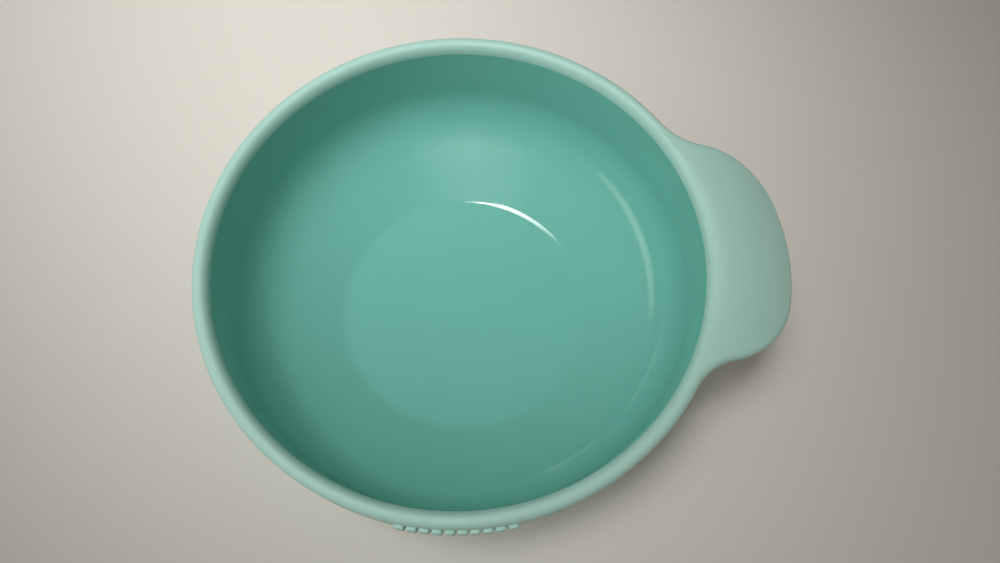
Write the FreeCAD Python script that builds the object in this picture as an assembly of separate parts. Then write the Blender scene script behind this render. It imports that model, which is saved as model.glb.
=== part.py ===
import FreeCAD, Part
import math
import os

from FreeCAD import Vector

# A child's suction bowl: a moulded bowl with a thumb handle, standing on a soft suction base.
# The base is one soft moulding on the real thing. It is three solids here, so that it can move:
# the collar that grips the bowl's foot, the skirt that sticks to the table, and the release tab.
# Frame: origin on the bowl's axis at the table, +Z up, +X towards the thumb handle. Millimetres.

UP = Vector(0, 0, 1)

# Bowl, outside and inside
RIM_Z = 56.0  # top of the rim above the table
RIM_R = 64.0
CREST_R = 62.0  # where the rim is highest
RIM_ROUND = 1.8
MOUTH_R = 60.1  # inner edge of the rim
MOUTH_DEPTH = 3.0  # the rim's inner round ends this far down
MOUTH_PULLS = (1.7, 1.1)  # how far the inner round runs on up from the mouth and in from the crest
BAND_DEPTH = 8.4  # lower edge of the plain band round the rim
WALL = 2.6
WALL_TOP_SETBACK = 1.7  # the wall stands this far inside the band
BEND_R = 59.0  # the straight wall ends and the big bend starts here
BEND_DEPTH = 17.5
FLOOR_R = 34.3  # middle of the crease round the flat floor
FLOOR_DEPTH = 41.0
CREASE_ARC_R = 6.0
CREASE_TURN = 26.0  # the floor turns up this many degrees in the crease

# Foot ring under the bowl
FOOT_R = 31.0
FOOT_WALL = 3.0
FOOT_Z = 8.0
FOOT_EDGE = 0.5

# Thumb handle, a drooping leaf that grows out of the rim
LEAF_REACH = 82.3
LEAF_DROOP = 5.7  # drop of the leaf's top at its tip, along an arc
LEAF_LIMIT = 86.0  # the section runs on to here before the outline trims it
LEAF_ROOT_THICK = 3.5
LEAF_TIP_THICK = 2.6
TIP_ARC_R = 50.0
SHOULDER_ARC_R = 21.0
SHOULDER_AZ = 16.0  # direction from the tip arc's centre to the shoulder arc's, degrees
ROOT_ARC_R = 15.0  # hollow between the leaf and the rim

# Raised ribs on the rim's band
RIB_COUNT = 10
RIB_PITCH = 2.75
RIB_WIDTH = 2.3
RIB_STAND = 0.9
RIB_SUNK = 0.8  # reach into the band
RIB_DEPTHS = (3.2, 7.6)  # top and bottom of a rib below the rim's top
RIB_ROUND = 0.5
RIB_AZ = -92.0

# Collar of the suction base
COLLAR_R = 34.6
COLLAR_INNER_R = 24.8
COLLAR_TOP = 12.0
GRIP_GAP = 0.35  # room round the foot ring
COLLAR_EDGE = 0.7

# Skirt of the suction base
SKIRT_TOP = 6.0
SKIRT_R = 45.5
LIP_IN_R = 42.0
LIP_OUT_R = 44.6
LIP_THICK = 1.6
FLARE_POLES = ((36.6, 3.3), (40.0, 2.2))  # the skirt's upper face runs out over these
DOME_HEIGHT = 3.2
DOME_POLES = ((38.0, 1.6), (24.0, DOME_HEIGHT))

# Release tab, on the side away from the handle
TAB_GAP = 0.3
TAB_HALF = 7.2  # half its width, and the radius of its round end
TAB_LENGTH = 13.2
TAB_LIFT = 0.3  # the tab hangs this far above the table
TAB_THICK = 1.5
TAB_ROUND = 0.45
TAB_BEADS = (5.6, 8.0, 10.4)  # distance of each raised bead from the tab's root
TAB_BEAD_WIDTH = 1.3
TAB_BEAD_HALF = 4.6  # half the length of a bead
TAB_BEAD_STAND = 0.5
TAB_BEAD_SUNK = 0.4  # reach into the tab
TAB_BEAD_ROUND = 0.4

QUARTER_SHARE = 0.5523  # handle length of a Bezier quarter circle
NEAR = 0.01  # slack when edges are picked by place


def line(start, end):
    """Straight edge between two (radius, height) points."""
    return Part.makeLine(Vector(start[0], 0, start[1]), Vector(end[0], 0, end[1]))


def curve(*poles):
    """Bezier edge on (radius, height) poles."""
    bezier = Part.BezierCurve()
    bezier.setPoles([Vector(r, 0, z) for r, z in poles])
    return bezier.toShape()


def path(points):
    """Straight edges through (radius, height) points."""
    return [line(a, b) for a, b in zip(points, points[1:])]


def turned(edges):
    """Solid of revolution about the bowl's axis from a closed half section."""
    return Part.Face(Part.Wire(edges)).revolve(Vector(0, 0, 0), UP, 360)


def quarter(start, end, lean, rise=0.0):
    """Rounded bend that starts rising by so many degrees and ends along lean, a unit (dr, dz)."""
    (r0, z0), (r1, z1) = start, end
    first = QUARTER_SHARE * (r1 - r0)
    last = QUARTER_SHARE * (z1 - z0)
    slope = math.radians(rise)
    pole_a = (r0 + first * math.cos(slope), z0 + first * math.sin(slope))
    pole_b = (r1 - lean[0] * last, z1 - lean[1] * last)
    return curve(start, pole_a, pole_b, end)


def leaf_arc_r():
    """Radius of the arc that the handle's upper face follows from the crest to the tip."""
    run = LEAF_REACH - CREST_R
    return (run**2 + LEAF_DROOP**2) / (2 * LEAF_DROOP)


def leaf_top(r):
    """Height of the handle's upper face at a radius."""
    arc_r = leaf_arc_r()
    return RIM_Z - arc_r + math.sqrt(arc_r**2 - (r - CREST_R) ** 2)


def leaf_under(r):
    """Height of the handle's lower face at a radius."""
    share = (r - RIM_R) / (LEAF_REACH - RIM_R)
    return leaf_top(r) - LEAF_ROOT_THICK - share * (LEAF_TIP_THICK - LEAF_ROOT_THICK)


def arc(start, middle, end):
    """Circular edge through three (radius, height) points."""
    return Part.Arc(*[Vector(r, 0, z) for r, z in (start, middle, end)]).toShape()


def on_leaf(height, start, end):
    """Edge along one face of the handle, given as height over radius."""
    middle = (start + end) / 2
    return arc((start, height(start)), (middle, height(middle)), (end, height(end)))


def creased_floor(floor_z):
    """Flat floor and the crease that turns it up; returns the edges and where they end."""
    turn = math.radians(CREASE_TURN)
    flat_r = FLOOR_R - CREASE_ARC_R * math.sin(turn / 2)

    def on_crease(angle):
        return (flat_r + CREASE_ARC_R * math.sin(angle), floor_z + CREASE_ARC_R * (1 - math.cos(angle)))

    end = on_crease(turn)
    crease = arc(on_crease(0), on_crease(turn / 2), end)
    return [line((0, floor_z), (flat_r, floor_z)), crease], end


def bowl_section():
    """Half section of the bowl with a brim all round, which the outline trims later."""
    floor_z = RIM_Z - FLOOR_DEPTH
    under_z = floor_z - WALL
    bend = (BEND_R, RIM_Z - BEND_DEPTH)
    mouth = (MOUTH_R, RIM_Z - MOUTH_DEPTH)
    slope = math.hypot(mouth[0] - bend[0], mouth[1] - bend[1])
    lean = ((mouth[0] - bend[0]) / slope, (mouth[1] - bend[1]) / slope)
    floor, crease_end = creased_floor(floor_z)
    crest = (CREST_R, RIM_Z)
    above_mouth = (mouth[0] + lean[0], mouth[1] + MOUTH_PULLS[0])
    before_crest = (crest[0] - MOUTH_PULLS[1], crest[1])
    tip_top = (LEAF_LIMIT, leaf_top(LEAF_LIMIT))
    tip_under = (LEAF_LIMIT, leaf_under(LEAF_LIMIT))
    band_low = (RIM_R, RIM_Z - BAND_DEPTH)
    wall_top = (RIM_R - WALL_TOP_SETBACK, band_low[1] - WALL_TOP_SETBACK)
    outer_bend = (BEND_R + WALL, bend[1])
    inside = floor + [
        quarter(crease_end, bend, lean, CREASE_TURN),
        line(bend, mouth),
        curve(mouth, above_mouth, before_crest, crest),
    ]
    brim = [
        on_leaf(leaf_top, CREST_R, LEAF_LIMIT),
        line(tip_top, tip_under),
        on_leaf(leaf_under, LEAF_LIMIT, RIM_R),
        line((RIM_R, leaf_under(RIM_R)), band_low),
        line(band_low, wall_top),
    ]
    outside = [
        line(wall_top, outer_bend),
        quarter((FLOOR_R, under_z), outer_bend, lean, CREASE_TURN),
    ]
    foot = path(
        [
            (FLOOR_R, under_z),
            (FOOT_R, under_z),
            (FOOT_R, FOOT_Z + FOOT_EDGE),
            (FOOT_R - FOOT_EDGE, FOOT_Z),
            (FOOT_R - FOOT_WALL + FOOT_EDGE, FOOT_Z),
            (FOOT_R - FOOT_WALL, FOOT_Z + FOOT_EDGE),
            (FOOT_R - FOOT_WALL, under_z),
            (0, under_z),
            (0, floor_z),
        ]
    )
    return inside + brim + outside + foot


def toward(start, end):
    """Unit vector from one point to another."""
    span = end - start
    return span / span.Length


def meet(centre_a, reach_a, centre_b, reach_b):
    """Point at given distances from two centres, on the left of the way from a to b."""
    gap = (centre_b - centre_a).Length
    along = (reach_a**2 - reach_b**2 + gap**2) / (2 * gap)
    ahead = toward(centre_a, centre_b)
    return centre_a + ahead * along + UP.cross(ahead) * math.sqrt(reach_a**2 - along**2)


def outline_edges():
    """Plan outline of the rim with its handle: six arcs, each tangent to the next."""
    hub = Vector(0, 0, 0)
    tip = Vector(LEAF_REACH, 0, 0)
    tip_centre = Vector(LEAF_REACH - TIP_ARC_R, 0, 0)
    az = math.radians(SHOULDER_AZ)
    out = Vector(math.cos(az), math.sin(az), 0)
    shoulder = tip_centre + out * (TIP_ARC_R - SHOULDER_ARC_R)
    hollow = meet(hub, RIM_R + ROOT_ARC_R, shoulder, SHOULDER_ARC_R + ROOT_ARC_R)
    back = toward(shoulder, hollow)
    on_tip = tip_centre + out * TIP_ARC_R
    on_shoulder = shoulder + back * SHOULDER_ARC_R
    on_rim = toward(hub, hollow) * RIM_R
    shoulder_mid = shoulder + toward(hub, out + back) * SHOULDER_ARC_R
    hollow_mid = hollow - toward(hub, back + toward(hub, hollow)) * ROOT_ARC_R

    def mirrored(p):
        return Vector(p.x, -p.y, 0)

    upper = [(on_tip, shoulder_mid, on_shoulder), (on_shoulder, hollow_mid, on_rim)]
    lower = [tuple(mirrored(p) for p in reversed(points)) for points in reversed(upper)]
    arcs = [
        *lower,
        (mirrored(on_tip), tip, on_tip),
        *upper,
        (on_rim, Vector(-RIM_R, 0, 0), mirrored(on_rim)),
    ]
    return [Part.Arc(*points).toShape() for points in arcs]


def is_top_edge(edge):
    """True for an edge that runs along the outline on the upper face."""
    middle = edge.valueAt((edge.FirstParameter + edge.LastParameter) / 2)
    r = math.hypot(middle.x, middle.y)
    return RIM_R - NEAR < r < LEAF_LIMIT and abs(middle.z - leaf_top(r)) < NEAR


def ribs():
    """Row of short raised ribs on the band, in place of a moulded mark."""
    top, bottom = RIM_Z - RIB_DEPTHS[0], RIM_Z - RIB_DEPTHS[1]
    row = []
    for i in range(RIB_COUNT):
        rib = Part.makeBox(RIB_STAND + RIB_SUNK, RIB_WIDTH, top - bottom)
        rib.translate(Vector(RIM_R - RIB_SUNK, -RIB_WIDTH / 2, bottom))
        outer = [e for e in rib.Edges if e.BoundBox.XMin > RIM_R + RIB_STAND - NEAR]
        rib = rib.makeFillet(RIB_ROUND, outer)
        step = math.degrees(RIB_PITCH / RIM_R)
        rib.rotate(Vector(0, 0, 0), UP, RIB_AZ + (i - (RIB_COUNT - 1) / 2) * step)
        row.append(rib)
    return row


def bowl():
    """The bowl with its rim, thumb handle, foot ring and ribs, one hard moulding."""
    plan = Part.Face(Part.Wire(outline_edges())).extrude(UP * (RIM_Z + 2))
    body = turned(bowl_section())
    body.rotate(Vector(0, 0, 0), UP, 180)  # puts the seam away from the handle
    body = body.common(plan).removeSplitter()
    body = body.makeFillet(RIM_ROUND, [e for e in body.Edges if is_top_edge(e)])
    return body.fuse(ribs()).removeSplitter()


def suction_collar():
    """Ring with a groove that grips the bowl's foot ring."""
    groove_out = FOOT_R + GRIP_GAP
    groove_in = FOOT_R - FOOT_WALL - GRIP_GAP
    edge = COLLAR_EDGE
    section = [
        (COLLAR_INNER_R, SKIRT_TOP),
        (COLLAR_R, SKIRT_TOP),
        (COLLAR_R, COLLAR_TOP - edge),
        (COLLAR_R - edge, COLLAR_TOP),
        (groove_out + edge, COLLAR_TOP),
        (groove_out, COLLAR_TOP - edge),
        (groove_out, FOOT_Z),
        (groove_in, FOOT_Z),
        (groove_in, COLLAR_TOP - edge),
        (groove_in - edge, COLLAR_TOP),
        (COLLAR_INNER_R + edge, COLLAR_TOP),
        (COLLAR_INNER_R, COLLAR_TOP - edge),
        (COLLAR_INNER_R, SKIRT_TOP),
    ]
    return turned(path(section))


def suction_skirt():
    """Shallow soft cup: a disc that flares to a thin lip, hollow underneath."""
    lip_mid = LIP_THICK / 2
    edges = [
        line((0, SKIRT_TOP), (COLLAR_R, SKIRT_TOP)),
        curve((COLLAR_R, SKIRT_TOP), *FLARE_POLES, (LIP_OUT_R, LIP_THICK)),
        curve((LIP_OUT_R, LIP_THICK), (SKIRT_R, LIP_THICK), (SKIRT_R, lip_mid)),
        curve((SKIRT_R, lip_mid), (SKIRT_R, 0), (LIP_OUT_R, 0)),
        line((LIP_OUT_R, 0), (LIP_IN_R, 0)),
        curve((LIP_IN_R, 0), *DOME_POLES, (0, DOME_HEIGHT)),
        line((0, DOME_HEIGHT), (0, SKIRT_TOP)),
    ]
    return turned(edges)


def release_tab():
    """Finger tab at the skirt's lip; its hinge line is the top edge of its root."""
    root = -(SKIRT_R + TAB_GAP)
    end = root - TAB_LENGTH
    centre = end + TAB_HALF
    outline = Part.Wire(
        [
            Part.makeLine(Vector(root, -TAB_HALF, 0), Vector(root, TAB_HALF, 0)),
            Part.makeLine(Vector(root, TAB_HALF, 0), Vector(centre, TAB_HALF, 0)),
            Part.Arc(
                Vector(centre, TAB_HALF, 0), Vector(end, 0, 0), Vector(centre, -TAB_HALF, 0)
            ).toShape(),
            Part.makeLine(Vector(centre, -TAB_HALF, 0), Vector(root, -TAB_HALF, 0)),
        ]
    )
    tab = Part.Face(outline).extrude(UP * TAB_THICK)
    tab.translate(Vector(0, 0, TAB_LIFT))
    free = [e for e in tab.Edges if e.BoundBox.ZLength < NEAR and e.BoundBox.XMin < root - NEAR]
    tab = tab.makeFillet(TAB_ROUND, free)
    top = TAB_LIFT + TAB_THICK
    low = top - TAB_BEAD_SUNK
    beads = []
    for distance in TAB_BEADS:
        bead = Part.makeBox(TAB_BEAD_WIDTH, 2 * TAB_BEAD_HALF, TAB_BEAD_SUNK + TAB_BEAD_STAND)
        bead.translate(Vector(root - distance - TAB_BEAD_WIDTH / 2, -TAB_BEAD_HALF, low))
        crown = [e for e in bead.Edges if e.BoundBox.ZMin > top + TAB_BEAD_STAND - NEAR]
        beads.append(bead.makeFillet(TAB_BEAD_ROUND, crown))
    return tab.fuse(beads).removeSplitter()


def main():
    """Builds every piece, prints its size and writes its STEP file."""
    os.makedirs("parts", exist_ok=True)
    for make in (bowl, suction_collar, suction_skirt, release_tab):
        shape = make()
        node = make.__name__
        box = shape.optimalBoundingBox()
        lows = "%.2f %.2f %.2f" % (box.XMin, box.YMin, box.ZMin)
        highs = "%.2f %.2f %.2f" % (box.XMax, box.YMax, box.ZMax)
        print(f"{node}: valid {shape.isValid()}, {len(shape.Solids)} solid, {shape.Volume:.0f} mm3")
        print(f"    from {lows} to {highs}")
        shape.exportStep(f"parts/{node}.step")


main()
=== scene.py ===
"""Visible pieces, finishes, light and camera of a child's suction bowl on its soft base."""

import logging
import math
from collections.abc import Callable, Sequence
from dataclasses import dataclass
from enum import Enum

import bpy
from mathutils import Matrix, Vector


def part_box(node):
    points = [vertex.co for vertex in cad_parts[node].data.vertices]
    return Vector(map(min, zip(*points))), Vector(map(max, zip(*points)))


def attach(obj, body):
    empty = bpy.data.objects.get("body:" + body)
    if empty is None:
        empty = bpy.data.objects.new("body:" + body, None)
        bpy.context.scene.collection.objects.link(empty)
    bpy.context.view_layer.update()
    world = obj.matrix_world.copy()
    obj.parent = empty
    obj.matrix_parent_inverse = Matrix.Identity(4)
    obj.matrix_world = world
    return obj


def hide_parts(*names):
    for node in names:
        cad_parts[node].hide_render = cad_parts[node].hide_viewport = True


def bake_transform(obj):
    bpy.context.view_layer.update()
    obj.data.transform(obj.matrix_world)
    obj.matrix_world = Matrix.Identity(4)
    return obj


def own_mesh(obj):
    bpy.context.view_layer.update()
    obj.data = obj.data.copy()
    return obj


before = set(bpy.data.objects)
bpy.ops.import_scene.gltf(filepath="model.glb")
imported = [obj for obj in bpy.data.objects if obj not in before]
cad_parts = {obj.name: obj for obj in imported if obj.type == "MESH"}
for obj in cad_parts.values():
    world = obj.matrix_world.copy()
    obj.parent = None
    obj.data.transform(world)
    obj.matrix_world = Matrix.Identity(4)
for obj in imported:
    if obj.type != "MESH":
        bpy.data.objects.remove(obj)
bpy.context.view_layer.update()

MM = 0.001
QUARTER_PULL = 0.5523  # how far a cubic's poles lie towards the corner for a quarter circle
NEAR = 1e-6  # metres within which two points count as one
ROUND_CUTS = 4  # cuts in the round of a bevelled edge
RIM_ENDS = (2, 3, 7, 8)  # marks where a rim section's top, outer round, side and foot end
GLOW_TINT = (0.8, 1.0, 0.95)  # how far red, green and blue wander inside the plastics, in share
Point = tuple[float, float]
Colour = tuple[float, float, float, float]
log = logging.getLogger("suction_bowl")


class Body(Enum):
    """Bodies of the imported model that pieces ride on."""

    BOWL = "bowl"
    COLLAR = "collar"
    SKIRT = "skirt"
    TAB = "release_tab"


# ---------------------------------------------------------------- colour and nodes


def linear(code: str, alpha: float = 1.0) -> Colour:
    """Turns an sRGB hex colour into linear light.

    Args:
        code: Six hex digits.
        alpha: Opacity.

    Returns:
        Red, green, blue and alpha.
    """
    levels = [int(code[i : i + 2], 16) / 255 for i in (0, 2, 4)]
    red, green, blue = (
        v / 12.92 if v <= 0.04045 else ((v + 0.055) / 1.055) ** 2.4 for v in levels
    )
    return (red, green, blue, alpha)


def add_node(
    tree: bpy.types.NodeTree, kind: str, values: dict, links: dict | None = None
) -> bpy.types.Node:
    """Adds one node with its settings and links.

    Args:
        tree: Node tree that takes the node.
        kind: Identifier of the node type.
        values: Attribute or input name to its value.
        links: Input name to the output socket that feeds it.

    Returns:
        The new node.
    """
    node = tree.nodes.new(kind)
    for name, value in values.items():
        if hasattr(node, name):
            setattr(node, name, value)
        else:
            node.inputs[name].default_value = value
    for name, socket in (links or {}).items():
        tree.links.new(socket, node.inputs[name])
    return node


def new_material(name: str) -> tuple[bpy.types.Material, bpy.types.NodeTree]:
    """Makes an empty node material.

    Args:
        name: The real material and its finish.

    Returns:
        The material and its cleared node tree.
    """
    material = bpy.data.materials.new(name)
    material.use_nodes = True
    material.node_tree.nodes.clear()
    return material, material.node_tree


def per_metre(size_mm: float) -> float:
    """Noise scale whose features are about size_mm across."""
    return 1.0 / (size_mm * MM)


# ---------------------------------------------------------------- finishes


@dataclass(frozen=True)
class MouldedPolypropylene:
    """Coloured polypropylene from a mould: even colour, very fine mould grain, slight flow clouding.

    A polished mould face gives a clear gloss. A spark-eroded one gives a satin, whose paler colour is
    painted sheen.
    """

    name: str
    colour: str
    cloud_colour: str
    roughness: float
    roughness_swing: float
    grain_mm: float
    grain_depth_mm: float
    sheen: float = 0.0
    sheen_roughness: float = 0.5
    cloud_mm: float = 28.0
    wipe_mm: float = 9.0  # size of the patches where the gloss differs
    wipe_range: tuple[float, float] = (0.3, 0.7)
    ior: float = 1.49
    glow_mm: float = 1.2  # how far light wanders inside the plastic
    glow: float = 0.12

    def material(self) -> bpy.types.Material:
        """Builds the node material."""
        material, tree = new_material(self.name)
        place = add_node(tree, "ShaderNodeTexCoord", {}).outputs["Object"]
        cloud = add_node(
            tree,
            "ShaderNodeTexNoise",
            {"Scale": per_metre(self.cloud_mm), "Detail": 2.0},
            {"Vector": place},
        )
        tint = add_node(tree, "ShaderNodeValToRGB", {}, {"Fac": cloud.outputs["Fac"]})
        tint.color_ramp.elements[0].color = linear(self.colour)
        tint.color_ramp.elements[1].color = linear(self.cloud_colour)
        wipe = add_node(
            tree,
            "ShaderNodeTexNoise",
            {"Scale": per_metre(self.wipe_mm), "Detail": 4.0},
            {"Vector": place},
        )
        rough = add_node(
            tree,
            "ShaderNodeMapRange",
            {
                "From Min": self.wipe_range[0],
                "From Max": self.wipe_range[1],
                "To Min": self.roughness - self.roughness_swing,
                "To Max": self.roughness + self.roughness_swing,
            },
            {"Value": wipe.outputs["Fac"]},
        )
        grain = add_node(
            tree,
            "ShaderNodeTexNoise",
            {"Scale": per_metre(self.grain_mm), "Detail": 2.0},
            {"Vector": place},
        )
        bump = add_node(
            tree,
            "ShaderNodeBump",
            {"Strength": 1.0, "Distance": self.grain_depth_mm * MM},
            {"Height": grain.outputs["Fac"]},
        )
        shader = add_node(
            tree,
            "ShaderNodeBsdfPrincipled",
            {
                "IOR": self.ior,
                "Sheen Weight": self.sheen,
                "Sheen Roughness": self.sheen_roughness,
                "Subsurface Weight": self.glow,
                "Subsurface Scale": self.glow_mm * MM,
                "Subsurface Radius": GLOW_TINT,
            },
            {
                "Base Color": tint.outputs["Color"],
                "Roughness": rough.outputs["Result"],
                "Normal": bump.outputs["Normal"],
            },
        )
        add_node(tree, "ShaderNodeOutputMaterial", {}, {"Surface": shader.outputs["BSDF"]})
        return material


@dataclass(frozen=True)
class SoftElastomer:
    """Thermoplastic elastomer: soft, matt and a little dusty, with a fine leathery mould grain."""

    name: str = "soft_elastomer_moulded"
    colour: str = "8FBFB3"
    dusty_colour: str = "A3CBC1"
    dust_mm: float = 14.0
    dust_range: tuple[float, float] = (0.35, 0.75)
    roughness: float = 0.62
    roughness_swing: float = 0.06
    grain_mm: float = 0.5
    grain_depth_mm: float = 0.02
    ior: float = 1.5
    sheen: float = 0.25
    sheen_roughness: float = 0.6
    glow: float = 0.2
    glow_m: float = 0.0018  # how far light wanders inside the elastomer, metres

    def material(self) -> bpy.types.Material:
        """Builds the node material."""
        material, tree = new_material(self.name)
        place = add_node(tree, "ShaderNodeTexCoord", {}).outputs["Object"]
        dust = add_node(
            tree,
            "ShaderNodeTexNoise",
            {"Scale": per_metre(self.dust_mm), "Detail": 5.0},
            {"Vector": place},
        )
        ramp = add_node(tree, "ShaderNodeValToRGB", {}, {"Fac": dust.outputs["Fac"]})
        ramp.color_ramp.elements[0].position = self.dust_range[0]
        ramp.color_ramp.elements[0].color = linear(self.colour)
        ramp.color_ramp.elements[1].position = self.dust_range[1]
        ramp.color_ramp.elements[1].color = linear(self.dusty_colour)
        grain = add_node(
            tree, "ShaderNodeTexVoronoi", {"Scale": per_metre(self.grain_mm)}, {"Vector": place}
        )
        bump = add_node(
            tree,
            "ShaderNodeBump",
            {"Strength": 1.0, "Distance": self.grain_depth_mm * MM},
            {"Height": grain.outputs["Distance"]},
        )
        rough = add_node(
            tree,
            "ShaderNodeMapRange",
            {
                "To Min": self.roughness - self.roughness_swing,
                "To Max": self.roughness + self.roughness_swing,
            },
            {"Value": dust.outputs["Fac"]},
        )
        shader = add_node(
            tree,
            "ShaderNodeBsdfPrincipled",
            {
                "IOR": self.ior,
                "Sheen Weight": self.sheen,
                "Sheen Roughness": self.sheen_roughness,
                "Subsurface Weight": self.glow,
                "Subsurface Scale": self.glow_m,
                "Subsurface Radius": GLOW_TINT,
            },
            {
                "Base Color": ramp.outputs["Color"],
                "Roughness": rough.outputs["Result"],
                "Normal": bump.outputs["Normal"],
            },
        )
        add_node(tree, "ShaderNodeOutputMaterial", {}, {"Surface": shader.outputs["BSDF"]})
        return material


@dataclass(frozen=True)
class PaleTable:
    """Plain pale matt table top."""

    name: str = "pale_matt_table"
    colour: str = "D6D4CD"
    roughness: float = 0.85

    def material(self) -> bpy.types.Material:
        """Builds the node material."""
        material, tree = new_material(self.name)
        shader = add_node(
            tree,
            "ShaderNodeBsdfPrincipled",
            {"Base Color": linear(self.colour), "Roughness": self.roughness},
        )
        add_node(tree, "ShaderNodeOutputMaterial", {}, {"Surface": shader.outputs["BSDF"]})
        return material


POLISHED = MouldedPolypropylene(
    name="polypropylene_polished",
    colour="6FB8AD",
    cloud_colour="73BCB1",
    roughness=0.1,
    roughness_swing=0.02,
    grain_mm=1.6,
    grain_depth_mm=0.002,
)
# Same plastic and dye as the polished copy: the rougher face, grain and sheen weight are real, the
# paler colours are painted sheen.
SATIN_PAINTED_SHEEN = MouldedPolypropylene(
    name="polypropylene_satin_painted_sheen",
    colour="A6D2C9",
    cloud_colour="AAD4CC",
    roughness=0.5,
    roughness_swing=0.04,
    grain_mm=0.45,
    grain_depth_mm=0.012,
    sheen=0.15,
)
ELASTOMER = SoftElastomer()


# ---------------------------------------------------------------- half sections


@dataclass(frozen=True)
class Stretch:
    """One smooth stretch of a half section, in millimetres of radius and height."""

    at: Callable[[float], Point]
    length: float


def measured(at: Callable[[float], Point], steps: int = 24) -> Stretch:
    """Wraps a curve over 0 to 1 with its length."""
    points = [at(i / steps) for i in range(steps + 1)]
    return Stretch(at, sum(math.dist(a, b) for a, b in zip(points, points[1:])))


def straight(start: Point, end: Point) -> Stretch:
    """Straight stretch between two points."""
    run, rise = end[0] - start[0], end[1] - start[1]
    return measured(lambda t: (start[0] + t * run, start[1] + t * rise), 1)


def bezier(a: Point, b: Point, c: Point, d: Point) -> Stretch:
    """Cubic stretch on four poles.

    Args:
        a: Where it starts.
        b: Pole that it leaves towards.
        c: Pole that it comes in from.
        d: Where it ends.

    Returns:
        The stretch.
    """

    def at(t: float) -> Point:
        """Point at a share of the way."""
        weights = ((1 - t) ** 3, 3 * t * (1 - t) ** 2, 3 * t * t * (1 - t), t**3)
        poles = (a, b, c, d)
        return (
            sum(w * p[0] for w, p in zip(weights, poles)),
            sum(w * p[1] for w, p in zip(weights, poles)),
        )

    return measured(at)


def rounded(start: Point, corner: Point, end: Point, pull: float = QUARTER_PULL) -> Stretch:
    """Rounded corner that leaves start and reaches end along the corner's two sides.

    Args:
        start: Where the round leaves the first side.
        corner: Where the two sides would meet.
        end: Where the round reaches the second side.
        pull: How far its poles lie towards the corner.

    Returns:
        The stretch.
    """
    b = (start[0] + pull * (corner[0] - start[0]), start[1] + pull * (corner[1] - start[1]))
    c = (end[0] + pull * (corner[0] - end[0]), end[1] + pull * (corner[1] - end[1]))
    return bezier(start, b, c, end)


@dataclass(frozen=True)
class Section:
    """Stretches end to end, walked by the distance from the first one's start."""

    stretches: Sequence[Stretch]

    def marks(self) -> list[float]:
        """Distance at which each stretch ends, after a leading 0."""
        total, marks = 0.0, [0.0]
        for stretch in self.stretches:
            total += stretch.length
            marks.append(total)
        return marks

    def point(self, distance: float) -> Point:
        """Point at a distance along the section.

        Args:
            distance: Millimetres from the section's start.

        Returns:
            Radius and height there.
        """
        for stretch in self.stretches[:-1]:
            if distance <= stretch.length:
                return stretch.at(distance / stretch.length if stretch.length > 0 else 0.0)
            distance -= stretch.length
        last = self.stretches[-1]
        return last.at(min(1.0, distance / last.length))


def evenly(stretch: Stretch, count: int) -> list[Point]:
    """Points that end each of count equal shares of a stretch."""
    return [stretch.at((i + 1) / count) for i in range(count)]


# ---------------------------------------------------------------- mesh helpers


def deselect() -> None:
    """Leaves nothing selected in object mode."""
    if bpy.context.object and bpy.context.object.mode != "OBJECT":
        bpy.ops.object.mode_set(mode="OBJECT")
    bpy.ops.object.select_all(action="DESELECT")


def settle(piece: bpy.types.Object, name: str) -> bpy.types.Object:
    """Names a piece and moves its place, turn and scale into its mesh.

    Args:
        piece: The piece.
        name: Its new name, which its mesh takes too.

    Returns:
        The same piece, at the origin.
    """
    piece.name = name
    piece.data.name = name
    piece.data.transform(piece.matrix_world)
    piece.matrix_world = Matrix.Identity(4)
    return piece


def only(piece: bpy.types.Object) -> None:
    """Makes a piece the only one selected, and active.

    Args:
        piece: The piece.
    """
    deselect()
    piece.select_set(True)
    bpy.context.view_layer.objects.active = piece


def smooth(piece: bpy.types.Object, degrees: float = 35.0) -> None:
    """Smooth shading with edges sharper than an angle kept."""
    only(piece)
    bpy.ops.object.shade_smooth_by_angle(angle=math.radians(degrees))


def join(pieces: Sequence[bpy.types.Object], name: str) -> bpy.types.Object:
    """Joins pieces into one object.

    Args:
        pieces: The pieces; the first takes the rest.
        name: Name of the joined piece.

    Returns:
        The joined piece.
    """
    deselect()
    for piece in pieces:
        piece.select_set(True)
    bpy.context.view_layer.objects.active = pieces[0]
    bpy.ops.object.join()
    return settle(pieces[0], name)


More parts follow.
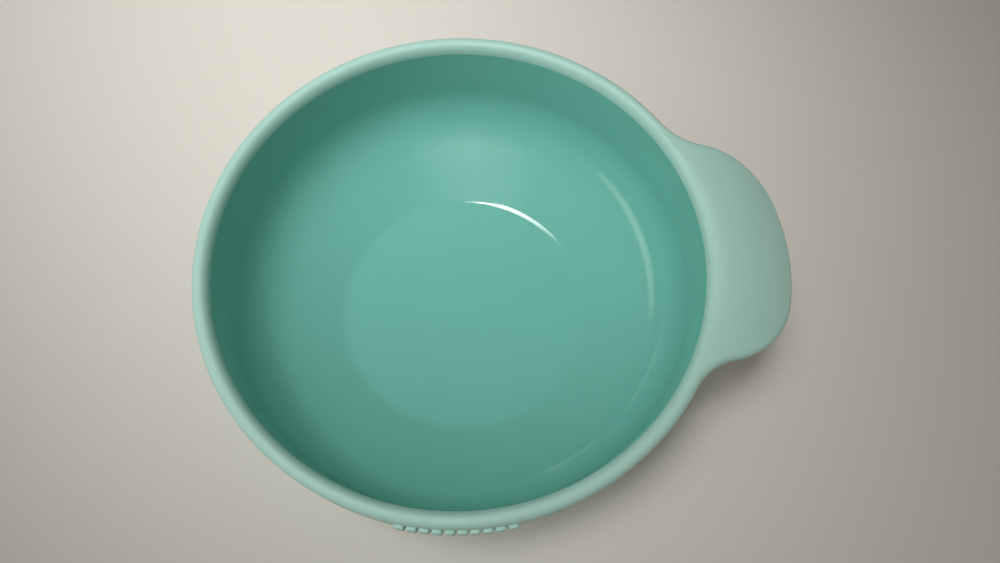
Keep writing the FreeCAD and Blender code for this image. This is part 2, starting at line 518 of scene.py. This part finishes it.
def turn_shell(
    name: str, points: Sequence[Point], spokes: int, closed: bool = False
) -> bpy.types.Object:
    """Grows a turned shell ring by ring, from the first point of its half section to the last.

    Args:
        name: The piece's name.
        points: Radius and height of each ring in millimetres. The first and last close on the axis
            unless the section is closed.
        spokes: Number of points in each ring.
        closed: True if the last ring meets the first, as in a hollow ring.

    Returns:
        The piece, with its normals outwards.
    """
    deselect()
    (r, z), rest = points[0], points[1:]
    bpy.ops.mesh.primitive_circle_add(
        vertices=spokes,
        radius=r * MM,
        location=(0, 0, z * MM),
        fill_type="NOTHING" if closed else "TRIFAN",
    )
    shell = settle(bpy.context.object, name)
    bpy.ops.object.mode_set(mode="EDIT")
    bpy.ops.mesh.select_mode(type="VERT")
    bpy.ops.mesh.select_all(action="DESELECT")
    if closed:
        bpy.ops.mesh.select_all(action="SELECT")
    else:
        bpy.ops.mesh.select_non_manifold()
    rings = [*rest, points[0]] if closed else rest
    for next_r, next_z in rings:
        bpy.ops.mesh.extrude_edges_move(TRANSFORM_OT_translate={"value": (0, 0, (next_z - z) * MM)})
        bpy.ops.transform.resize(
            value=(next_r / r, next_r / r, 1), center_override=(0, 0, next_z * MM)
        )
        r, z = next_r, next_z
    if closed:
        bpy.ops.mesh.select_all(action="SELECT")
        bpy.ops.mesh.remove_doubles(threshold=NEAR)
    else:
        bpy.ops.mesh.merge(type="CENTER")
    bpy.ops.mesh.select_all(action="SELECT")
    bpy.ops.mesh.normals_make_consistent(inside=False)
    bpy.ops.object.mode_set(mode="OBJECT")
    return shell


def dress(piece: bpy.types.Object, finishes: Sequence[bpy.types.Material]) -> None:
    """Puts finishes on a piece.

    Args:
        piece: The piece.
        finishes: Its materials, in the order that its faces number them.
    """
    piece.data.materials.clear()
    for finish in finishes:
        piece.data.materials.append(finish)


def report(piece: bpy.types.Object) -> None:
    """Logs a finished piece."""
    log.info("%s: %d faces", piece.name, len(piece.data.polygons))


# ---------------------------------------------------------------- bowl


@dataclass
class HandleOutline:
    """Plan outline of the thumb handle: arcs for its tip, shoulders and the hollows beside the rim."""

    rim_r: float
    reach: float
    tip_r: float = 50.0
    shoulder_r: float = 21.0
    shoulder_az: float = 16.0
    hollow_r: float = 15.0
    least_squareness: float = 0.5

    def __post_init__(self) -> None:
        """Works out the arcs' centres and the spokes where they meet."""
        shoulder_az = math.radians(self.shoulder_az)
        out = Vector((math.cos(shoulder_az), math.sin(shoulder_az)))
        self.tip_centre = Vector((self.reach - self.tip_r, 0.0))
        self.shoulder = self.tip_centre + out * (self.tip_r - self.shoulder_r)
        far, near = self.rim_r + self.hollow_r, self.shoulder_r + self.hollow_r
        gap = self.shoulder.length
        along = (far**2 - near**2 + gap**2) / (2 * gap)
        ahead = self.shoulder.normalized()
        aside = Vector((-ahead.y, ahead.x)) * math.sqrt(far**2 - along**2)
        self.hollow = ahead * along + aside
        tip_end = self.tip_centre + out * self.tip_r
        shoulder_end = self.shoulder + (self.hollow - self.shoulder).normalized() * self.shoulder_r
        self.spokes = [math.atan2(p.y, p.x) for p in (tip_end, shoulder_end, self.hollow)]

    def at(self, azimuth: float) -> tuple[float, float]:
        """Outline along one spoke.

        Args:
            azimuth: Direction of the spoke in radians from the handle's middle.

        Returns:
            Radius of the outline, and how much longer a spoke's way through its edge is than a
            square one.
        """
        azimuth = abs(azimuth)
        spoke = Vector((math.cos(azimuth), math.sin(azimuth)))
        if azimuth >= self.spokes[2]:
            return self.rim_r, 1.0
        side = 1.0
        if azimuth <= self.spokes[0]:
            centre, arc_r = self.tip_centre, self.tip_r
        elif azimuth <= self.spokes[1]:
            centre, arc_r = self.shoulder, self.shoulder_r
        else:
            centre, arc_r, side = self.hollow, self.hollow_r, -1.0
        ahead = centre.dot(spoke)
        r = ahead + side * math.sqrt(ahead**2 - centre.length_squared + arc_r**2)
        normal = (spoke * r - centre) / arc_r * side
        return r, 1.0 / max(self.least_squareness, normal.dot(spoke))


@dataclass
class BowlMoulding:
    """The hard bowl: floor, wall, rounded rim, drooping handle and foot ring, in millimetres."""

    rim_r: float = 64.0
    crest_r: float = 62.0
    rim_round: float = 1.8
    mouth_r: float = 60.1
    mouth_depth: float = 3.0
    band_depth: float = 8.4
    band_round: float = 1.7
    wall: float = 2.6
    bend_r: float = 59.0
    bend_depth: float = 17.5
    floor_r: float = 34.3
    floor_depth: float = 41.0
    crease_r: float = 6.0
    crease_turn: float = 26.0
    foot_r: float = 31.0
    foot_wall: float = 3.0
    foot_edge: float = 0.5
    handle_droop: float = 5.7
    handle_root: float = 3.5
    handle_tip: float = 2.6
    handle_edge: float = 0.8
    handle_ease: float = 4.0  # growth over which the handle's lower edge takes its round
    mouth_pull: float = 1.7
    crest_pull: float = 1.1
    top_pull: float = 0.58  # fits the outer round, which turns less than a quarter on the handle
    crest_gap: float = 0.05
    foot_fillet: float = 0.6
    floor_inset: float = 6.0  # ring under the floor, inside the foot
    under_r: float = 12.0
    middle_r: float = 2.0
    spokes: int = 360
    floor_rings: int = 10
    crease_rings: int = 14
    bend_rings: int = 36
    wall_rings: int = 8
    rim_rings: int = 18
    edge_rings: int = 7
    side_rings: int = 16
    foot_rings: int = 6
    outer_wall_rings: int = 5
    outer_bend_rings: int = 28
    corner_rings: int = 4
    side_slide: tuple[float, float] = (0.36, 0.5)  # share where the side's rings slide, and its length
    ring_slack: float = 0.01  # millimetres by which a point may miss its ring
    least_growth: float = 1e-4  # millimetres of handle below which a spoke is left plain
    key_parts: int = 4  # shares of a spoke's step that tell two spokes apart
    faces_up: float = 0.5  # a normal's rise from which a face counts as floor
    floor_slack_m: float = 1e-5
    smooth_under: float = 40.0  # degrees

    def __post_init__(self) -> None:
        """Takes the rim's height, the foot's height and the handle's reach from the frame."""
        low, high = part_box("bowl")
        self.rim_z = high[2] / MM
        self.foot_z = low[2] / MM
        self.outline = HandleOutline(self.rim_r, high[0] / MM)
        self.mouth = (self.mouth_r, self.rim_z - self.mouth_depth)
        self.bend = (self.bend_r, self.rim_z - self.bend_depth)
        run = math.dist(self.mouth, self.bend)
        self.lean = ((self.mouth[0] - self.bend[0]) / run, (self.mouth[1] - self.bend[1]) / run)
        reach = self.outline.reach - self.crest_r
        self.droop_r = (reach**2 + self.handle_droop**2) / (2 * self.handle_droop)

    def top(self, r: float) -> float:
        """Height of the handle's upper face."""
        return self.rim_z - self.droop_r + math.sqrt(self.droop_r**2 - (r - self.crest_r) ** 2)

    def slope(self, r: float) -> float:
        """Angle at which the handle's upper face falls, in radians."""
        return math.asin((r - self.crest_r) / self.droop_r)

    def under(self, r: float) -> float:
        """Height of the handle's lower face."""
        share = (r - self.rim_r) / (self.outline.reach - self.rim_r)
        return self.top(r) - self.handle_root + share * (self.handle_root - self.handle_tip)

    def big_bend(self, start: Point, end: Point) -> Stretch:
        """The bend from the crease to the wall.

        Args:
            start: Where it leaves the crease.
            end: Where it meets the wall.

        Returns:
            The stretch.
        """
        first, last = QUARTER_PULL * (end[0] - start[0]), QUARTER_PULL * (end[1] - start[1])
        turn = math.radians(self.crease_turn)
        b = (start[0] + first * math.cos(turn), start[1] + first * math.sin(turn))
        c = (end[0] - self.lean[0] * last, end[1] - self.lean[1] * last)
        return bezier(start, b, c, end)

    def inside(self) -> list[Point]:
        """Rings from the middle of the floor up to the mouth."""
        floor_z = self.rim_z - self.floor_depth
        turn = math.radians(self.crease_turn)
        flat_r = self.floor_r - self.crease_r * math.sin(turn / 2)

        def crease(t: float) -> Point:
            """Point at a share of the crease's turn."""
            angle = t * turn
            return (
                flat_r + self.crease_r * math.sin(angle),
                floor_z + self.crease_r * (1 - math.cos(angle)),
            )

        first = (self.middle_r, floor_z)
        rings = [first, *evenly(straight(first, (flat_r, floor_z)), self.floor_rings)]
        rings += evenly(measured(crease), self.crease_rings)
        rings += evenly(self.big_bend(rings[-1], self.bend), self.bend_rings)
        return rings + evenly(straight(self.bend, self.mouth), self.wall_rings)

    def rim(self, r_out: float, oblique: float) -> Section:
        """Section over the rim, from the mouth to the foot of the band.

        Args:
            r_out: Radius of the outline on this spoke, more than the rim's where the handle is.
            oblique: How much longer the spoke's way through a rounded edge is than a square one.

        Returns:
            The section: inner round, top, outer round, side, lower round, underside, band and
            its foot.
        """
        extra = r_out - self.rim_r
        crest = (self.crest_r, self.rim_z)
        over = (self.mouth[0] + self.lean[0], self.mouth[1] + self.mouth_pull)
        fall = self.slope(r_out)
        tangent = self.rim_round * math.tan((math.pi / 2 - fall) / 2)
        corner = (r_out, self.top(r_out))
        top_end = max(self.crest_r + self.crest_gap, r_out - tangent * oblique * math.cos(fall))
        ease = min(1.0, extra / self.handle_ease)
        low_round = self.handle_edge * ease * ease * (3 - 2 * ease)
        low_tangent = low_round * math.tan((math.pi / 2 + fall) / 2)
        low_corner = (r_out, self.under(r_out))
        side_top = (r_out, corner[1] - tangent)
        side_foot = (r_out, low_corner[1] + low_tangent)
        low_end = max(self.rim_r, r_out - low_tangent * oblique * math.cos(fall))
        band_foot = (self.rim_r, self.rim_z - self.band_depth)
        wall_top = (self.rim_r - self.band_round, band_foot[1] - self.band_round)

        def across(height: Callable[[float], float], start: float, end: float) -> Stretch:
            """Stretch along a face of the handle, between two radii."""
            run = end - start
            return measured(lambda t: (start + t * run, height(start + t * run)))

        return Section(
            [
                bezier(self.mouth, over, (crest[0] - self.crest_pull, crest[1]), crest),
                across(self.top, self.crest_r, top_end),
                rounded((top_end, self.top(top_end)), corner, side_top, self.top_pull),
                straight(side_top, side_foot),
                rounded(side_foot, low_corner, (low_end, self.under(low_end))),
                across(self.under, low_end, self.rim_r),
                straight((self.rim_r, self.under(self.rim_r)), band_foot),
                rounded(band_foot, (band_foot[0], wall_top[1]), wall_top),
            ]
        )

    def rim_points(self, r_out: float, oblique: float) -> list[Point]:
        """Rings over the rim on one spoke; each ring slides outwards as the handle grows.

        Args:
            r_out: Radius of the outline on this spoke.
            oblique: How much longer the spoke's way through a rounded edge is than a square one.

        Returns:
            The rings' points, as many on every spoke.
        """
        section, plain = self.rim(r_out, oblique), self.rim(self.rim_r, 1.0)
        marks, plain_marks = section.marks(), plain.marks()
        top_end, round_end, side_end, foot_end = (marks[i] for i in RIM_ENDS)
        plain_top, plain_round, plain_side, _ = (plain_marks[i] for i in RIM_ENDS)
        points = []
        for i in range(1, self.rim_rings + 1):
            share = i / self.rim_rings
            slide = max(0.0, 2 * share - 1)
            points.append(section.point(plain_top * share + slide * (top_end - plain_top)))
        edge = round_end - top_end
        points += [
            section.point(top_end + edge * (i + 1) / self.edge_rings) for i in range(self.edge_rings)
        ]
        side = plain_side - plain_round
        grown = side_end - round_end - side
        slide_start, slide_length = self.side_slide
        for i in range(1, self.side_rings + 1):
            share = i / self.side_rings
            slide = min(1.0, max(0.0, (share - slide_start) / slide_length))
            points.append(section.point(round_end + side * share + slide * grown))
        foot = foot_end - side_end
        return points + [
            section.point(side_end + foot * (i + 1) / self.foot_rings) for i in range(self.foot_rings)
        ]

    def outside(self, start: Point) -> list[Point]:
        """Rings down the wall, under the floor and round the foot ring to the axis.

        Args:
            start: Where the rim's rings end.

        Returns:
            The rings' points.
        """
        under_z = self.rim_z - self.floor_depth - self.wall
        outer_bend = (self.bend_r + self.wall, self.bend[1])
        bend = self.big_bend((self.floor_r, under_z), outer_bend)
        count = self.outer_bend_rings
        rings = evenly(straight(start, outer_bend), self.outer_wall_rings)
        rings += [bend.at(1 - (i + 1) / count) for i in range(count)]
        inner, edge, fillet = self.foot_r - self.foot_wall, self.foot_edge, self.foot_fillet
        corners = [
            ((self.foot_r + fillet, under_z), (self.foot_r, under_z), (self.foot_r, under_z - fillet)),
            (
                (self.foot_r, self.foot_z + edge),
                (self.foot_r, self.foot_z),
                (self.foot_r - edge, self.foot_z),
            ),
            ((inner + edge, self.foot_z), (inner, self.foot_z), (inner, self.foot_z + edge)),
        ]
        for corner in corners:
            rings += [corner[0], *evenly(rounded(*corner), self.corner_rings)]
        inset = [inner, inner - self.floor_inset, self.under_r, self.middle_r]
        return rings + [(r, under_z) for r in inset]

    def draw_out_handle(self, shell: bpy.types.Object, plain: Sequence[Point]) -> None:
        """Pulls the rim's rings out along the handle's outline, spoke by spoke.

        Args:
            shell: The plain turned bowl.
            plain: The rim's rings on a spoke that has no handle.
        """
        low = min(z for _, z in plain) - self.ring_slack
        inner = self.mouth_r - self.ring_slack
        drawn: dict[int, list[Point]] = {}
        step = 2 * math.pi / self.spokes
        for vertex in shell.data.vertices:
            r, z = vertex.co.to_2d().length / MM, vertex.co.z / MM
            if r < inner or z < low:
                continue
            azimuth = math.atan2(vertex.co.y, vertex.co.x)
            r_out, oblique = self.outline.at(azimuth)
            if r_out <= self.rim_r + self.least_growth:
                continue
            ring = min(range(len(plain)), key=lambda i: math.dist(plain[i], (r, z)))
            if math.dist(plain[ring], (r, z)) > self.ring_slack:
                continue
            key = round(abs(azimuth) / step * self.key_parts)
            if key not in drawn:
                drawn[key] = self.rim_points(r_out, oblique)
            new_r, new_z = drawn[key][ring]
            spoke = vertex.co.to_2d().normalized()
            vertex.co = (spoke.x * new_r * MM, spoke.y * new_r * MM, new_z * MM)

    def polish_inside(self, shell: bpy.types.Object) -> None:
        """Gives the faces inside the mouth the polished finish, the first of the piece's two.

        Args:
            shell: The dressed bowl.
        """
        floor_z = (self.rim_z - self.floor_depth) * MM
        for face in shell.data.polygons:
            radial = face.center.to_2d()
            inward = face.normal.to_2d().dot(radial) < 0 or face.normal.z > self.faces_up
            low = floor_z - self.floor_slack_m
            inside = radial.length < self.mouth_r * MM and face.center.z > low
            face.material_index = 0 if inward and inside else 1

    def build(self) -> bpy.types.Object:
        """Models the bowl and puts it on its body."""
        inside = self.inside()
        plain = self.rim_points(self.rim_r, 1.0)
        shell = turn_shell("bowl_shell", [*inside, *plain, *self.outside(plain[-1])], self.spokes)
        self.draw_out_handle(shell, plain)
        smooth(shell, self.smooth_under)
        dress(shell, [POLISHED.material(), SATIN_PAINTED_SHEEN.material()])
        self.polish_inside(shell)
        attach(shell, Body.BOWL.value)
        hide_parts("bowl")
        report(shell)
        return shell


@dataclass
class RibRow:
    """Row of short raised ribs on the side of the rim, in millimetres."""

    count: int = 10
    pitch: float = 2.75
    width: float = 2.3
    stand: float = 0.9
    sunk: float = 0.8
    depths: tuple[float, float] = (3.2, 7.6)
    edge: float = 0.5
    azimuth: float = -92.0
    rim_r: float = 64.0

    def rib(self, azimuth: float, rim_z: float) -> bpy.types.Object:
        """One rib at a direction round the rim.

        Args:
            azimuth: Direction in radians from the handle's middle.
            rim_z: Height of the rim in millimetres.

        Returns:
            The rib.
        """
        deselect()
        tall = self.depths[1] - self.depths[0]
        deep = self.stand + self.sunk
        bpy.ops.mesh.primitive_cube_add(size=1)
        rib = bpy.context.object
        middle = Vector((self.rim_r - self.sunk + deep / 2, 0, rim_z - self.depths[0] - tall / 2)) * MM
        size = Matrix.Diagonal((deep * MM, self.width * MM, tall * MM, 1))
        rib.data.transform(Matrix.Translation(middle) @ size)
        bpy.ops.object.mode_set(mode="EDIT")
        bpy.ops.mesh.select_all(action="SELECT")
        bpy.ops.mesh.bevel(offset=self.edge * MM, segments=ROUND_CUTS, profile=0.5, affect="EDGES")
        bpy.ops.mesh.normals_make_consistent(inside=False)
        bpy.ops.object.mode_set(mode="OBJECT")
        rib.data.transform(Matrix.Rotation(azimuth, 4, "Z"))
        return rib

    def build(self) -> bpy.types.Object:
        """Models the row and puts it on the bowl's body."""
        rim_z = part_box("bowl")[1][2] / MM
        step = self.pitch / self.rim_r
        first = math.radians(self.azimuth) - step * (self.count - 1) / 2
        row = join([self.rib(first + i * step, rim_z) for i in range(self.count)], "rim_ribs")
        smooth(row)
        dress(row, [bpy.data.materials[SATIN_PAINTED_SHEEN.name]])
        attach(row, Body.BOWL.value)
        report(row)
        return row


# ---------------------------------------------------------------- suction base


@dataclass
class SuctionCollar:
    """Grooved ring that grips the bowl's foot, in millimetres."""

    groove_out: float = 31.35
    groove_in: float = 27.65
    inner_r: float = 24.8
    groove_z: float = 8.0
    edge: float = 0.7
    edge_rings: int = 4
    spokes: int = 192

    def build(self, finish: bpy.types.Material) -> bpy.types.Object:
        """Models the collar and puts it on its body.

        Args:
            finish: The base's material.

        Returns:
            The collar.
        """
        low, high = (Vector(c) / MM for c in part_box("suction_collar"))
        outer, bottom, top, edge = high.x, low.z, high.z, self.edge

        def corner(start: Point, tip: Point, end: Point) -> list[Point]:
            """Rings round one edge, with the one where it starts."""
            return [start, *evenly(rounded(start, tip, end), self.edge_rings)]

        wall_in, wall_out = self.groove_in, self.groove_out
        points = [(wall_out, self.groove_z), (wall_in, self.groove_z)]
        points += corner((wall_in, top - edge), (wall_in, top), (wall_in - edge, top))
        points += corner((self.inner_r + edge, top), (self.inner_r, top), (self.inner_r, top - edge))
        points += [(self.inner_r, bottom), (outer, bottom)]
        points += corner((outer, top - edge), (outer, top), (outer - edge, top))
        points += corner((wall_out + edge, top), (wall_out, top), (wall_out, top - edge))
        ring = turn_shell("suction_collar_ring", points, self.spokes, closed=True)
        smooth(ring)
        dress(ring, [finish])
        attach(ring, Body.COLLAR.value)
        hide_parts("suction_collar")
        report(ring)
        return ring


@dataclass
class SuctionSkirt:
    """Shallow cup that flares to a thin sealing lip, in millimetres."""

    neck_r: float = 34.6
    lip_out: float = 44.6
    lip_in: float = 42.0
    lip_thick: float = 1.6
    dome: float = 3.2
    press: float = 2.5
    top_rings: tuple[float, float, float] = (2.0, 20.0, 33.8)
    flare_poles: tuple[Point, Point] = ((36.6, 3.3), (40.0, 2.2))
    dome_poles: tuple[float, float, float] = (38.0, 1.6, 24.0)  # two radii, the first with its height
    middle_r: float = 2.0
    flare_rings: int = 16
    lip_rings: int = 5
    foot_rings: int = 2
    dome_rings: int = 18
    smooth_under: float = 50.0  # degrees
    spokes: int = 256

    def build(self, finish: bpy.types.Material) -> bpy.types.Object:
        """Models the skirt unpressed and puts it on its body; the real skirt flattens as the bowl is
        pressed down.

        Args:
            finish: The base's material.

        Returns:
            The skirt.
        """
        high = Vector(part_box("suction_skirt")[1]) / MM
        top, outer, half = high.z, high.x, self.lip_thick / 2
        lip_top, lip_foot = (self.lip_out, self.lip_thick), (self.lip_out, 0.0)
        under, middle = (self.lip_in, 0.0), (self.middle_r, self.dome)
        first_r, first_z, last_r = self.dome_poles
        stretches = [
            (bezier((self.neck_r, top), *self.flare_poles, lip_top), self.flare_rings),
            (rounded(lip_top, (outer, self.lip_thick), (outer, half)), self.lip_rings),
            (rounded((outer, half), (outer, 0.0), lip_foot), self.lip_rings),
            (straight(lip_foot, under), self.foot_rings),
            (bezier(under, (first_r, first_z), (last_r, self.dome), middle), self.dome_rings),
        ]
        points = [(r, top) for r in (*self.top_rings, self.neck_r)]
        for stretch, count in stretches:
            points += evenly(stretch, count)
        cup = turn_shell("suction_skirt_cup", points, self.spokes)
        smooth(cup, self.smooth_under)
        dress(cup, [finish])
        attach(cup, Body.SKIRT.value)
        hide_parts("suction_skirt")
        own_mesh(cup)
        report(cup)
        return cup


@dataclass
class ReleaseTab:
    """Finger tab that grows out of the lip, modelled flat; the real one bends up at its root. In
    millimetres.
    """

    thick: float = 1.5
    edge: float = 0.45
    web: float = 2.6
    beads: tuple[float, ...] = (5.6, 8.0, 10.4)
    bead_width: float = 1.3
    bead_half: float = 4.6
    bead_stand: float = 0.5
    bead_sunk: float = 0.4
    bead_edge: float = 0.4
    bend: float = 1.2  # half the length over which the tab bends at its root
    cuts: int = 14
    cut_pitch: float = 0.35
    round_points: int = 64

    def plate(self, root: float, end: float, half: float, low: float) -> bpy.types.Object:
        """The flat tab with its web: half a disc drawn out to the lip and cut across for bending.

        Args:
            root: Where the tab leaves the lip, along X.
            end: Its tip, along X.
            half: Half its width.
            low: Height of its lower face.

        Returns:
            The plate.
        """
        deselect()
        bpy.ops.mesh.primitive_circle_add(
            vertices=self.round_points,
            radius=half * MM,
            location=((end + half) * MM, 0, low * MM),
            fill_type="NGON",
        )
        plate = settle(bpy.context.object, "release_tab_leaf")
        centre = (end + half) * MM
        for vertex in plate.data.vertices:
            if vertex.co.x > centre + NEAR:
                vertex.co.x = (root + self.web) * MM
        bpy.ops.object.mode_set(mode="EDIT")
        bpy.ops.mesh.select_all(action="SELECT")
        bpy.ops.mesh.remove_doubles(threshold=NEAR / 10)
        bpy.ops.mesh.extrude_region_move(TRANSFORM_OT_translate={"value": (0, 0, self.thick * MM)})
        bpy.ops.mesh.select_all(action="SELECT")
        bpy.ops.mesh.normals_make_consistent(inside=False)
        bpy.ops.mesh.select_all(action="DESELECT")
        bpy.ops.object.mode_set(mode="OBJECT")
        for edge in plate.data.edges:
            a, b = (plate.data.vertices[i].co for i in edge.vertices)
            level = abs(a.z - b.z) < NEAR / 10
            outer = min(a.x, b.x) < (root + self.web) * MM - NEAR
            edge.select = level and outer
        bpy.ops.object.mode_set(mode="EDIT")
        bpy.ops.mesh.select_mode(type="EDGE")
        bpy.ops.mesh.bevel(offset=self.edge * MM, segments=ROUND_CUTS, profile=0.5, affect="EDGES")
        for i in range(self.cuts):
            cut = root + self.web - self.cut_pitch * (i + 1)
            bpy.ops.mesh.select_all(action="SELECT")
            bpy.ops.mesh.bisect(plane_co=(cut * MM, 0, 0), plane_no=(1, 0, 0))
        bpy.ops.object.mode_set(mode="OBJECT")
        return plate

    def bead(self, x: float, top: float) -> bpy.types.Object:
        """One raised bead across the tab.

        Args:
            x: Its place along the tab.
            top: Height of the tab's upper face.

        Returns:
            The bead.
        """
        deselect()
        bpy.ops.mesh.primitive_cube_add(size=1)
        bead = bpy.context.object
        tall = self.bead_sunk + self.bead_stand
        place = Matrix.Translation(Vector((x, 0, top - self.bead_sunk + tall / 2)) * MM)
        size = Matrix.Diagonal((self.bead_width * MM, 2 * self.bead_half * MM, tall * MM, 1))
        bead.data.transform(place @ size)
        bpy.ops.object.mode_set(mode="EDIT")
        bpy.ops.mesh.select_all(action="SELECT")
        bpy.ops.mesh.bevel(offset=self.bead_edge * MM, segments=ROUND_CUTS, profile=0.5, affect="EDGES")
        bpy.ops.object.mode_set(mode="OBJECT")
        return bead

    def build(self, finish: bpy.types.Material) -> bpy.types.Object:
        """Models the tab flat, cut across at its root; the real tab bends with its web from the skirt.

        Args:
            finish: The base's material.

        Returns:
            The tab.
        """
        low, high = (Vector(c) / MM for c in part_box("release_tab"))
        root, end, half = high.x, low.x, high.y
        top = low.z + self.thick
        beads = [self.bead(root - distance, top) for distance in self.beads]
        tab = join([self.plate(root, end, half, low.z), *beads], "release_tab_leaf")
        smooth(tab)
        dress(tab, [finish])
        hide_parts("release_tab")
        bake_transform(tab)
        report(tab)
        return tab


# ---------------------------------------------------------------- studio


@dataclass
class Tube:
    """One long soft lamp, placed by where its ends are seen from the middle of the bowl's mouth."""

    name: str
    ends: tuple[Point, Point]  # degrees: azimuth from +X round to +Y, then elevation
    distance: float  # metres
    width: float
    watts: float
    colour: str
    aim: tuple[float, float]  # mm on the table, where the beam is brightest
    spread: float  # degrees

    def end(self, index: int) -> Vector:
        """Place of one end, from the middle of the bowl's mouth.

        Args:
            index: Which end, 0 or 1.

        Returns:
            The place in metres.
        """
        az, el = (math.radians(v) for v in self.ends[index])
        out = Vector((math.cos(az) * math.cos(el), math.sin(az) * math.cos(el), math.sin(el)))
        return out * self.distance

    def place(self, mouth: Vector) -> bpy.types.Object:
        """Adds the lamp, its long side from end to end.

        Args:
            mouth: Middle of the bowl's mouth.

        Returns:
            The lamp.
        """
        along = self.end(1) - self.end(0)
        middle = mouth + (self.end(0) + self.end(1)) / 2
        data = bpy.data.lights.new(self.name, "AREA")
        data.shape = "RECTANGLE"
        data.size, data.size_y = along.length, self.width
        data.energy = self.watts
        data.color = linear(self.colour)[:3]
        data.spread = math.radians(self.spread)
        lamp = bpy.data.objects.new(self.name, data)
        bpy.context.scene.collection.objects.link(lamp)
        back = (middle - Vector((*self.aim, 0.0)) * MM).normalized()
        side = back.cross(along).normalized()
        turn = Matrix((side.cross(back), side, back)).transposed().to_4x4()
        lamp.matrix_world = Matrix.Translation(middle) @ turn
        return lamp


@dataclass
class Studio:
    """Plain pale table, soft lamps and the camera."""

    lens_mm: float = 28.08
    camera_place: tuple[float, float, float] = (3.92, -77.13, 171.5)  # mm from the rim's centre
    camera_elevation: float = 68.05
    camera_azimuth: float = -4.5
    camera_roll: float = 2.4
    room: str = "CABDAB"
    room_strength: float = 0.27
    tubes: tuple[Tube, ...] = (
        Tube(
            name="tube_near",
            ends=((229.0, 71.0), (160.0, 60.0)),
            distance=0.85,
            width=0.09,
            watts=0.135,
            colour="FFFEFC",
            aim=(-45.0, 118.0),
            spread=31.0,
        ),
        Tube(
            name="tube_far",
            ends=((233.0, 81.0), (148.0, 70.0)),
            distance=0.85,
            width=0.09,
            watts=0.135,
            colour="FFFEFC",
            aim=(-45.0, 118.0),
            spread=31.0,
        ),
        Tube(
            name="panel",
            ends=((300.0, 46.0), (208.0, 46.0)),
            distance=1.2,
            width=1.0,
            watts=0.4,
            colour="FFFEFC",
            aim=(-60.0, 110.0),
            spread=46.0,
        ),
        Tube(
            name="low_left",
            ends=((205.0, 13.0), (150.0, 13.0)),
            distance=1.5,
            width=0.4,
            watts=1.1,
            colour="F8F6F0",
            aim=(-60.0, 60.0),
            spread=90.0,
        ),
    )
    table_m: float = 3.0
    sensor_mm: float = 36.0
    clip_m: tuple[float, float] = (0.01, 20.0)

    def table(self) -> bpy.types.Object:
        """The table that the bowl stands on."""
        deselect()
        bpy.ops.mesh.primitive_plane_add(size=self.table_m)
        table = settle(bpy.context.object, "table")
        table.data.materials.append(PaleTable().material())
        return table

    def camera(self, rim_z: float) -> bpy.types.Object:
        """The camera, looking down into the bowl.

        Args:
            rim_z: Height of the rim in metres.

        Returns:
            The camera.
        """
        data = bpy.data.cameras.new("camera")
        data.lens, data.sensor_width = self.lens_mm, self.sensor_mm
        data.clip_start, data.clip_end = self.clip_m
        camera = bpy.data.objects.new("camera", data)
        bpy.context.scene.collection.objects.link(camera)
        x, y, z = self.camera_place
        camera.matrix_world = (
            Matrix.Translation((x * MM, y * MM, z * MM + rim_z))
            @ Matrix.Rotation(math.radians(self.camera_azimuth), 4, "Z")
            @ Matrix.Rotation(math.radians(90 - self.camera_elevation), 4, "X")
            @ Matrix.Rotation(math.radians(self.camera_roll), 4, "Z")
        )
        bpy.context.scene.camera = camera
        return camera

    def world(self) -> None:
        """Even light from the room."""
        world = bpy.data.worlds.new("room")
        world.use_nodes = True
        bpy.context.scene.world = world
        background = world.node_tree.nodes["Background"]
        background.inputs["Color"].default_value = linear(self.room)
        background.inputs["Strength"].default_value = self.room_strength

    def build(self) -> None:
        """Sets the stage."""
        bpy.context.scene.view_settings.view_transform = "Standard"
        rim_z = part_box("bowl")[1][2]
        self.table()
        self.world()
        for tube in self.tubes:
            tube.place(Vector((0, 0, rim_z)))
        self.camera(rim_z)


def main() -> None:
    """Builds the bowl, its suction base and the studio."""
    logging.basicConfig(level=logging.INFO, format="%(name)s: %(message)s")
    Studio().build()
    BowlMoulding().build()
    RibRow().build()
    soft = ELASTOMER.material()
    SuctionCollar().build(soft)
    SuctionSkirt().build(soft)
    ReleaseTab().build(soft)


if __name__ == "__main__":
    main()
